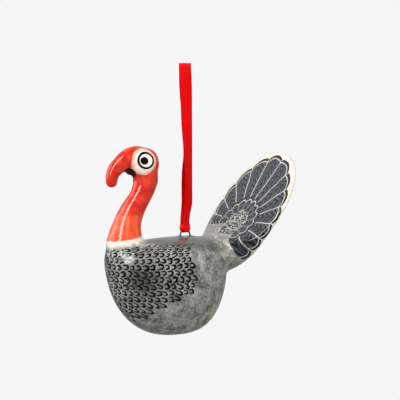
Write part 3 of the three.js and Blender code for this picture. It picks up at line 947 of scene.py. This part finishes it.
def fan_place(places):
    """Angle and distance from where the feathers spring, and distance left to where their tips lie."""
    off = places - FEATHER_ROOT
    flat = np.stack([off[:, 1], off @ FAN_UP], axis=1)
    half = np.abs(flat * [1, 0]) + flat * [0, 1]
    edge = fan_edge()
    to_edge = np.full(len(places), np.inf)
    for start, step in zip(edge[:-1], np.diff(edge, axis=0)):
        share = np.clip((half - start) @ step / (step @ step), 0, 1)
        to_edge = np.minimum(to_edge, np.linalg.norm(half - start - share[:, None] * step, axis=1))
    forward = off @ np.cross(FAN_UP, (0, 1, 0))
    over_rim = forward + np.sign(forward) * to_edge
    front = over_rim > -WRAP
    angle = np.arctan2(flat[:, 0], flat[:, 1]) + FRONT_TURN * front
    angle = (angle + math.pi) % (2 * math.pi) - math.pi
    margin = np.interp(-angle, NEAR_ANGLES, NEAR_MARGINS)
    margin += np.interp(angle, FAR_ANGLES, [0, FAR_MARGIN - NEAR_MARGINS[0]])
    to_tip = np.where(front, over_rim - margin, -over_rim - WRAP)
    return np.stack([angle, np.linalg.norm(flat, axis=1), to_tip], axis=1)


body_points, neck_points, tail_points = (read_points(p.data) for p in (clay_body, clay_neck, clay_tail))
on_breast = breast_place(body_points)
on_fan = fan_place(tail_points)
for piece, name, values in (
    (clay_body, "stem_reach", beyond(body_points, STEM_POINT, STEM_NORMAL)),
    (clay_tail, "stem_reach", beyond(tail_points, STEM_POINT, STEM_NORMAL)),
    (clay_body, "collar_height", collar_height(body_points)),
    (clay_neck, "collar_height", collar_height(neck_points)),
    (clay_body, "breast_place", on_breast),
    (clay_tail, "fan_place", on_fan),
    (clay_tail, "fan_wide", np.abs(on_fan[:, 0])),
):
    kind, field = ("FLOAT", "value") if values.ndim == 1 else ("FLOAT_VECTOR", "vector")
    layer = piece.data.attributes.new(name, kind, "POINT")
    layer.data.foreach_set(field, values.astype(np.float32).ravel())
print("breast reach in mm:", np.round(on_breast.max(0), 1))

# %% [markdown]
# ## Glaze
# All the clay is white earthenware, painted with colours that are dry and matt, dipped in clear glaze and
# fired. What the eye gets is a diffuse colour under a clear coat, glassy on the neck and silky where a
# sponge has left the colour rough. The sponge or brush under it varies the colour, and its surface waves
# very slightly.

# %% Finish shared by the glazed pieces
GLAZE_WAVE_MM = 2.5
STEM_GRAIN_MM = 1.6
GLASSY = 0.04
SILKY = 0.13
COLLAR_SLIP = "#f1e8dc"


def glaze(tree, colour, place, roughness):
    """Puts a clear glaze over a painted colour."""
    wave = put(tree, "TexNoise", place, 1 / (GLAZE_WAVE_MM * MM), 1.0)
    normal = put(tree, "Bump", named={"Height": wave, "Strength": 0.06, "Distance": 0.12 * MM})
    paint = {"Base Color": colour, "Roughness": 0.38, "IOR": 1.5, "Specular IOR Level": 0.05}
    coat = {"Coat Weight": 1.0, "Coat Roughness": roughness, "Coat IOR": 1.5, "Normal": normal}
    put(tree, "OutputMaterial", put(tree, "BsdfPrincipled", named={**paint, **coat}))


def bare_stem(tree, colour, place):
    """The pale bare stem, into which the paint round it fades."""
    grain = put(tree, "TexNoise", place, 1 / (STEM_GRAIN_MM * MM), 5.0)
    bare = paint_over(tree, "#7d7b72", "#b3b1a6", grain, 0.36, 0.64)
    reach = put(tree, "Attribute", attribute_name="stem_reach", out="Fac")
    reach = put(tree, "Math", grain, 7.0, reach, operation="MULTIPLY_ADD")
    return paint_over(tree, colour, bare, reach, -2.5, 6.5)


def unsteady(tree, place, where, scale, sway):
    """A place that slow noise moves a little, as a hand moves a brush."""
    drift = put(tree, "TexNoise", where, scale, 1.0, out="Color")
    drift = put(tree, "VectorMath", drift, (0.5, 0.5, 0.5), operation="SUBTRACT")
    drift = put(tree, "VectorMath", drift, sway, operation="MULTIPLY")
    return put(tree, "VectorMath", place, drift, operation="ADD")


# %% [markdown]
# ### Grey body
# The body is sponged with grey, so it is mottled at the size of a sponge's holes, about 0.5 to 2 mm. Over
# it, the breast carries staggered rows of small brushed hooks, an old way to suggest feathers, with a
# darker wash behind them. A hook is a stroke that bends round like a U on its side. It lies in a cell of a
# lattice, and the cell's number gives it its own slant and size, as a hand would. The top of the back is
# painted darker as a painted reflection, and the clay round the staple's legs is darkened as a painted
# shadow.

# %% One lattice of brushed hooks
HOOK_PITCH = (3.4, 6.4, 1)
HOOK_RADIUS = 1.02
HOOK_ARM = 1.2
HOOK_TAIL = 0.34
HOOK_BEND = 0.6
HOOK_EDGE = 0.07
HOOK_LEAN = (-0.02, -0.12)
HOOK_SLANTS = (0.6, -0.3)
HOOK_SIZES = (0.3, 0.9)
BIB_REACH = 47.0
BIB_FOOT = -34.0
BIB_RISE = 0.42
BIB_TOP = 10.6
BIB_CORNER = 0.55


def hooks(tree, place, shift):
    """Share of black paint from one lattice of hooks, inside the bib."""
    cell = put(tree, "VectorMath", place, HOOK_PITCH, operation="DIVIDE")
    cell = put(tree, "VectorMath", cell, shift, operation="ADD")
    number = put(tree, "VectorMath", cell, operation="FLOOR")
    chance = put(tree, "TexWhiteNoise", number, noise_dimensions="3D", out="Color")
    slant, size, _ = put(tree, "SeparateXYZ", chance).node.outputs
    middle = put(tree, "VectorMath", number, [0.5 - s for s in shift], operation="ADD")
    middle = put(tree, "VectorMath", middle, HOOK_PITCH, operation="MULTIPLY")
    local = put(tree, "VectorMath", place, middle, operation="SUBTRACT")
    round_body, up, _ = put(tree, "SeparateXYZ", middle).node.outputs
    lean = put(tree, "Math", up, *HOOK_LEAN, operation="MULTIPLY_ADD")
    slant = put(tree, "Math", slant, *HOOK_SLANTS, operation="MULTIPLY_ADD")
    lean = put(tree, "Math", lean, slant, operation="ADD")
    turned = put(tree, "VectorRotate", local, named={"Angle": lean}, rotation_type="Z_AXIS")
    size = put(tree, "Math", size, *HOOK_SIZES, operation="MULTIPLY_ADD")
    turned = put(tree, "VectorMath", turned, size, operation="SCALE")
    along, across, _ = put(tree, "SeparateXYZ", turned).node.outputs
    ahead = put(tree, "Math", along, 0.0, operation="MAXIMUM")
    bent = put(tree, "VectorMath", put(tree, "CombineXYZ", ahead, across), operation="LENGTH")
    off = put(tree, "Math", bent, HOOK_RADIUS, operation="SUBTRACT")
    off = put(tree, "Math", off, operation="ABSOLUTE")
    half = put(tree, "MapRange", along, -HOOK_ARM, HOOK_RADIUS, HOOK_TAIL, HOOK_BEND)
    off = put(tree, "Math", off, half, operation="SUBTRACT")
    share = put(tree, "MapRange", off, HOOK_EDGE, -HOOK_EDGE, interpolation_type="SMOOTHSTEP")
    corner = put(tree, "Math", up, 0.0, operation="MAXIMUM")
    corner = put(tree, "Math", corner, BIB_CORNER, round_body, operation="MULTIPLY_ADD")
    foot = put(tree, "Math", round_body, BIB_RISE, BIB_FOOT, operation="MULTIPLY_ADD")
    for value, test, limit in (
        (along, "GREATER_THAN", -HOOK_ARM),
        (corner, "LESS_THAN", BIB_REACH),
        (up, "GREATER_THAN", foot),
        (up, "LESS_THAN", BIB_TOP),
    ):
        inside = put(tree, "Math", value, limit, operation=test)
        share = put(tree, "Math", share, inside, operation="MULTIPLY")
    return share


# %% Material: sponged grey earthenware
MOTTLE = (0.36, 0.64)
BREAST_WASH = (20, -9, 0)
BACK_SHADE_BAND = (13.8, 16.8)
LEG_FOOT = (LEG_HALF, 0, STAPLE_RISE - CROWN[2])
grey, tree = new_material("sponged_grey_earthenware")
place = put(tree, "TexCoord", out="Object")
blotch = put(tree, "TexNoise", place, 1 / (5 * MM), 2.0)
sponge = put(tree, "TexNoise", place, 1 / (1.3 * MM), 6.0, 0.65)
mottle = put(tree, "Math", blotch, 0.4, operation="MULTIPLY")
mottle = put(tree, "Math", sponge, 0.6, mottle, operation="MULTIPLY_ADD")
colour = paint_over(tree, "#575955", "#adafa6", mottle, *MOTTLE)
breast = put(tree, "Attribute", attribute_name="breast_place", out="Vector")
round_body, up, _ = put(tree, "SeparateXYZ", breast).node.outputs
from_wash = put(tree, "VectorMath", breast, BREAST_WASH, operation="DISTANCE")
from_wash = put(tree, "Math", blotch, -14.0, from_wash, operation="MULTIPLY_ADD")
colour = paint_over(tree, colour, "#474946", from_wash, 8, -8)
# Painted reflection: the top of the back is painted a darker grey, standing in for the darker surroundings
# that the glaze mirrors there.
back_shade_edge = put(tree, "Math", round_body, 0.2, up, operation="MULTIPLY_ADD")
back = paint_over(tree, "#4e504c", "#6c6e69", mottle, *MOTTLE)
colour = paint_over(tree, colour, back, back_shade_edge, *BACK_SHADE_BAND)
brushed = unsteady(tree, breast, breast, 0.16, (2.4, 2.4, 2.4))
first = hooks(tree, brushed, (0, 0, 0))
second = hooks(tree, brushed, (0.5, 0.5, 0))
marks = put(tree, "Math", first, second, operation="MAXIMUM")
colour = put(tree, "Mix", marks, colour, "#060607", data_type="RGBA")
colour = bare_stem(tree, colour, place)
# Painted shadow: the clay is darkened in a small ring round each place where a leg of the staple goes in.
in_mm = put(tree, "VectorMath", place, 1 / MM, operation="SCALE")
both_legs = put(tree, "VectorMath", in_mm, operation="ABSOLUTE")
leg_shadow_distance = put(tree, "VectorMath", both_legs, LEG_FOOT, operation="DISTANCE")
colour = paint_over(tree, colour, "#2c2c2b", leg_shadow_distance, 1.4, 0.9)
collar = put(tree, "Attribute", attribute_name="collar_height", out="Fac")
ragged = put(tree, "TexNoise", place, 1 / (2 * MM), 3.0)
collar = put(tree, "Math", ragged, 2.4, collar, operation="MULTIPLY_ADD")
colour = paint_over(tree, colour, COLLAR_SLIP, collar, -2.0, 1.2)
glaze(tree, colour, place, SILKY)
clay_body.data.materials.append(grey)
print("bib of hooks reaches", BIB_REACH, "mm round from the breast's middle")

# %% [markdown]
# ### Red neck
# The neck is brushed with red from the collar up in long strokes, thin and orange low down and twice laid,
# so deeper, above. It stops raggedly at the white collar. The eye is a white patch with a black ring and
# pupil.

# %% Material: brushed red earthenware
EYE = (-25.2, 0, -46.8)
EYE_PATCH = (-0.8, 0, -0.63)
EYE_SPREAD = (0.98, 0, 1)
RING_RADIUS = 3.72
PUPIL = (-0.95, 0, -0.1)
MOUTH = (-32.3, 0, -53.6)
MOUTH_TURN = math.radians(-38)
MOUTH_SPREAD = (1 / 4.0, 0, 1 / 2.8)
WASH_TOP = -73.4
RAGGED = 1.6


def flat_distance(tree, place, middle=(0, 0, 0), spread=(1, 0, 1)):
    """Distance from a middle as seen from the side, with each axis spread."""
    off = put(tree, "VectorMath", place, middle, operation="SUBTRACT")
    off = put(tree, "VectorMath", off, spread, operation="MULTIPLY")
    return put(tree, "VectorMath", off, operation="LENGTH")


red_glaze, tree = new_material("brushed_red_earthenware")
place = put(tree, "TexCoord", out="Object")
in_mm = put(tree, "VectorMath", place, 1 / MM, operation="SCALE")
height = put(tree, "SeparateXYZ", in_mm, out="Z")
drawn = put(tree, "VectorMath", in_mm, (0.6, 0.6, 0.05), operation="MULTIPLY")
streak = put(tree, "TexNoise", drawn, 1.0, 3.0)
pool = put(tree, "TexNoise", in_mm, 1 / 5.0, 3.0)
upper = paint_over(tree, "#cb271a", "#e8452f", pool, 0.35, 0.65)
lower = paint_over(tree, "#f07049", "#e74c2c", streak, 0.35, 0.65)
edge = put(tree, "Math", pool, RAGGED, height, operation="MULTIPLY_ADD")
colour = paint_over(tree, lower, upper, edge, WASH_TOP, WASH_TOP + RAGGED)
collar = put(tree, "Attribute", attribute_name="collar_height", out="Fac")
collar = put(tree, "Math", streak, -RAGGED, collar, operation="MULTIPLY_ADD")
eye = put(tree, "VectorMath", in_mm, EYE, operation="SUBTRACT")
fringe = flat_distance(tree, eye, EYE_PATCH)
fringe = put(tree, "Math", pool, RAGGED, fringe, operation="MULTIPLY_ADD")
ring = flat_distance(tree, eye, spread=EYE_SPREAD)
ring = put(tree, "Math", ring, RING_RADIUS, operation="SUBTRACT")
ring = put(tree, "Math", ring, operation="ABSOLUTE")
pupil = flat_distance(tree, eye, PUPIL, EYE_SPREAD)
mouth = put(tree, "VectorMath", in_mm, MOUTH, operation="SUBTRACT")
mouth = put(tree, "VectorRotate", mouth, named={"Axis": (0, 1, 0), "Angle": MOUTH_TURN})
mouth = flat_distance(tree, mouth, spread=MOUTH_SPREAD)
for paint, value, none, full in (
    (COLLAR_SLIP, collar, 1.0, 0.2),
    ("#f8bda0", fringe, 7.6, 6.8),
    ("#fdf4ea", fringe, 7.0, 5.0),
    ("#101010", ring, 0.66, 0.46),
    ("#080808", pupil, 2.0, 1.8),
    ("#060606", mouth, 1.05, 0.9),
):
    colour = paint_over(tree, colour, paint, value, none, full)
glaze(tree, colour, place, GLASSY)
clay_neck.data.materials.append(red_glaze)
print("eye at", EYE, "and mouth at", MOUTH)

# %% [markdown]
# ### Feathered fan
# The tail is painted as a plain fan: a ring of long feathers with a shorter ring over their roots. A
# feather is a wedge between two rays with a shaft down its middle, slanting barbs, a dark end and a pale
# outline, so both rings come from one rule with its own count and length.

# %% One ring of feathers
FAN_SPREAD = math.radians(118)
TIP_BULGE = 1.9
BARB_PITCH = 3.6
BARB_SLANT = 1.25


def feather_ring(tree, angle, distance, to_tip, count, grain, outline, outline_width):
    """Colour of a ring of feathers, and the distance inside their tips."""
    each = 2 * FAN_SPREAD / count
    place = put(tree, "Math", angle, each, operation="DIVIDE")
    whole = put(tree, "Math", place, operation="ROUND")
    side = put(tree, "Math", place, whole, operation="SUBTRACT")
    side = put(tree, "Math", side, operation="ABSOLUTE")
    width = put(tree, "Math", distance, each, operation="MULTIPLY")
    across = put(tree, "Math", side, width, operation="MULTIPLY")
    square = put(tree, "Math", side, 2.0, operation="POWER")
    tip = put(tree, "Math", square, -4 * TIP_BULGE, to_tip, operation="MULTIPLY_ADD")
    colour = paint_over(tree, "#43474d", "#52575f", grain, 0.4, 0.7)
    barb = put(tree, "Math", across, BARB_SLANT, distance, operation="MULTIPLY_ADD")
    barb = put(tree, "Math", barb, BARB_PITCH / 2, operation="PINGPONG")
    barbs = paint_over(tree, colour, "#07080a", barb, 0.8, 0.55)
    rim = put(tree, "Math", 0.5, side, operation="SUBTRACT")
    rim = put(tree, "Math", rim, width, operation="MULTIPLY")
    for paint, value, none, full in (
        (barbs, side, 0.43, 0.33),
        ("#1b1e23", across, 0.34, 0.18),
        ("#c4c4bf", tip, 2.4, 2.2),
        ("#1d1b1a", tip, 1.75, 1.5),
        (outline, rim, outline_width + 0.1, outline_width - 0.1),
    ):
        colour = paint_over(tree, colour, paint, value, none, full)
    return colour, tip


# %% Material: painted feather earthenware
SHORT_REACH = 17.0
DOWN_REACH = 8.8
feather, tree = new_material("painted_feather_earthenware")
place = put(tree, "TexCoord", out="Object")
fan = put(tree, "Attribute", attribute_name="fan_place", out="Vector")
grain = put(tree, "TexNoise", place, 1 / (2.2 * MM), 4.0)
drawn = unsteady(tree, fan, place, 1 / (7 * MM), (0.05, 1.0, 0.8))
angle, distance, to_tip = put(tree, "SeparateXYZ", drawn).node.outputs
wide = put(tree, "Attribute", attribute_name="fan_wide", out="Fac")
bare = bare_stem(tree, "#97958a", place)
unpainted = paint_over(tree, "#ece2d2", bare, wide, FAN_SPREAD - 0.4, FAN_SPREAD)
to_short = put(tree, "Math", SHORT_REACH, distance, operation="SUBTRACT")
colour = unpainted
for to_end, count, outline, line in ((to_tip, 13, "#e2e1da", 0.19), (to_short, 11, "#8f9193", 0.16)):
    feathers, tip = feather_ring(tree, angle, distance, to_end, count, grain, outline, line)
    colour = paint_over(tree, colour, feathers, tip, -0.1, 0.1)
colour = paint_over(tree, unpainted, colour, wide, FAN_SPREAD + 0.01, FAN_SPREAD - 0.01)
dots = put(tree, "TexVoronoi", place, 1 / (1.15 * MM), named={"Randomness": 0.8})
downy = paint_over(tree, "#2b2d30", "#c6c5ba", dots, 0.5, 0.36)
colour = paint_over(tree, colour, downy, distance, DOWN_REACH + 0.2, DOWN_REACH - 0.2)
glaze(tree, colour, place, SILKY)
clay_tail.data.materials.append(feather)
print("painted:", [m.name for m in (grey, red_glaze, feather)])

# %% [markdown]
# ## Studio
# The photograph was lit on a white sweep. The floor and the world have one pale tone to the camera. To the
# glaze, the sweep is bright behind and under the bird and the room in front of it is dim, which keeps the
# black paint black and gives the silhouette its pale rim.

# %% Pale floor and world
PALE = "#f6f6f6"
ROOM = 0.09
SWEEP = 0.55
FLOOR = 0.5
FLOOR_MIRRORED = 0.2
FLOOR_LEVEL = -215
FLOOR_RADIUS = 30000
bpy.context.scene.view_settings.view_transform = "Standard"


def pale_light(tree, kind, output, strength, mirrored):
    """A light that the camera sees as pale, with its own strength in mirrored and in other rays."""
    rays = put(tree, "LightPath").node.outputs
    shown = put(tree, "MapRange", rays["Is Glossy Ray"], 0, 1, strength, mirrored)
    shown = put(tree, "MapRange", rays["Is Camera Ray"], 0, 1, shown, 1.0)
    put(tree, output, put(tree, kind, PALE, shown))


world = bpy.data.worlds.new("white_sweep")
world.use_nodes = True
tree = world.node_tree
tree.nodes.clear()
way = put(tree, "TexCoord", out="Generated")
behind = put(tree, "VectorMath", way, -toward(VIEW_TURN, 0), operation="DOT_PRODUCT")
room = put(tree, "MapRange", behind, -0.1, 0.5, ROOM, SWEEP)
pale_light(tree, "Background", "OutputWorld", room, room)
bpy.context.scene.world = world
paper, tree = new_material("white_paper_sweep")
pale_light(tree, "Emission", "OutputMaterial", FLOOR, FLOOR_MIRRORED)
floor_points = circle(64) * FLOOR_RADIUS + [0, 0, FLOOR_LEVEL]
floor = mesh_piece("floor", floor_points, [tuple(range(64))], smooth=False)
floor.data.materials.append(paper)
print("floor at", FLOOR_LEVEL, "mm")


# %% [markdown]
# A long narrow soft box on the left draws the streak down the neck. Wide panels fill the shadows. Those
# that the glaze doesn't show in the photograph are hidden from reflections.

# %% Soft boxes
def soft_box(name, turn, lift, distance, size, power, mirrored=True):
    light = bpy.data.lights.new(name, "AREA")
    light.shape = "RECTANGLE"
    light.size, light.size_y = size
    light.energy = power
    box = placed(name, light)
    aim(box, toward(VIEW_TURN + math.radians(turn), math.radians(lift)), distance)
    box.visible_glossy = mirrored


soft_box("key_strip", -34, 36, 1.1, (0.32, 1.1), 12.0)
soft_box("left_panel", -95, 15, 1.1, (0.8, 1.2), 6.0)
soft_box("right_panel", 60, 20, 1.2, (0.6, 0.9), 8.0, mirrored=False)
soft_box("top_panel", 10, 75, 1.1, (1.0, 1.0), 2.5, mirrored=False)
